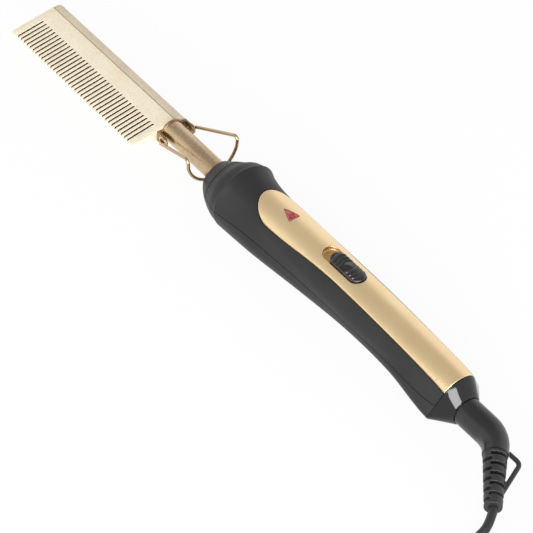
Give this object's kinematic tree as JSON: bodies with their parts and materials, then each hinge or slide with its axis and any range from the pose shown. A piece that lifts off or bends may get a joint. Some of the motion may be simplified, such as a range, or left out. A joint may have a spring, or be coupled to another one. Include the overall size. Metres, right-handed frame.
{
  "type": "hot comb",
  "caption": "Electric hot comb: straight metal comb on a tube neck with a folding wire stand, waisted handle with slide switch and lamp, swivel cord outlet with hanging loop.",
  "frame": {"origin": "middle of the comb's length and width without its free cord, on the surface it lies on", "axes": "+X from the comb head to the cord outlet, teeth towards -Y, switch and lamp towards +Z"},
  "size_m": [0.4444, 0.0704, 0.0313],
  "materials": {
    "comb_head": "satin blasted",
    "heating_element": "drawn",
    "heater_seal": "ceramic",
    "heater_leads": "woven sleeve",
    "stand_bracket": "satin plated",
    "neck_tube": "satin plated",
    "thermal_fuse": "ceramic",
    "wire_stand": "satin plated",
    "nose_collar": "matte",
    "tube_bush": "moulded",
    "upper_shell": "fine matte",
    "lower_shell": "fine matte",
    "shell_screws": "zinc plated",
    "cover_plate": "satin metallic paint",
    "lamp_lens": "clear red",
    "indicator_lamp": "clear",
    "circuit_board": "solder mask",
    "switch_body": "matte",
    "switch_slider": "gloss",
    "contact_leads": "sleeved",
    "contact_block": "moulded",
    "end_cap": "gloss",
    "swivel_stem": "satin gloss",
    "slip_rings": "turned",
    "stem_clip": "spring steel",
    "strain_relief": "matte",
    "cord_lead": "matte",
    "cord_coil": "matte",
    "cord_tail": "matte",
    "coil_tie": "matte",
    "plug_body": "matte",
    "plug_pins": "nickel plated"
  },
  "bodies": {
    "handle": {"comb_head": "comb_head", "heating_element": "heating_element", "heater_seal": "heater_seal", "heater_leads": "heater_leads", "stand_bracket": "stand_bracket", "neck_tube": "neck_tube", "thermal_fuse": "thermal_fuse", "nose_collar": "nose_collar", "tube_bush": "tube_bush", "upper_shell": "upper_shell", "lower_shell": "lower_shell", "shell_screws": "shell_screws", "cover_plate": "cover_plate", "lamp_lens": "lamp_lens", "indicator_lamp": "indicator_lamp", "circuit_board": "circuit_board", "switch_body": "switch_body", "contact_leads": "contact_leads", "contact_block": "contact_block", "end_cap": "end_cap"},
    "stand": {"wire_stand": "wire_stand"},
    "slider": {"switch_slider": "switch_slider"},
    "cord": {"swivel_stem": "swivel_stem", "slip_rings": "slip_rings", "stem_clip": "stem_clip", "strain_relief": "strain_relief", "cord_lead": "cord_lead", "cord_coil": "cord_coil", "cord_tail": "cord_tail", "coil_tie": "coil_tie", "plug_body": "plug_body", "plug_pins": "plug_pins"}
  },
  "joints": [
    {"name": "stand_fold", "type": "hinge", "parent": "handle", "child": "stand", "pos_m": [-0.06642, 0.00505, 0.0155], "axis": [0, 1, 0], "range_deg": [0, 95]},
    {"name": "switch_slide", "type": "slide", "parent": "handle", "child": "slider", "axis": [1, 0, 0], "range_m": [-0.0045, 0]},
    {"name": "cord_swivel", "type": "hinge", "parent": "handle", "child": "cord", "pos_m": [0.11758, 0.00505, 0.012], "axis": [1, 0, 0], "continuous": true}
  ]
}
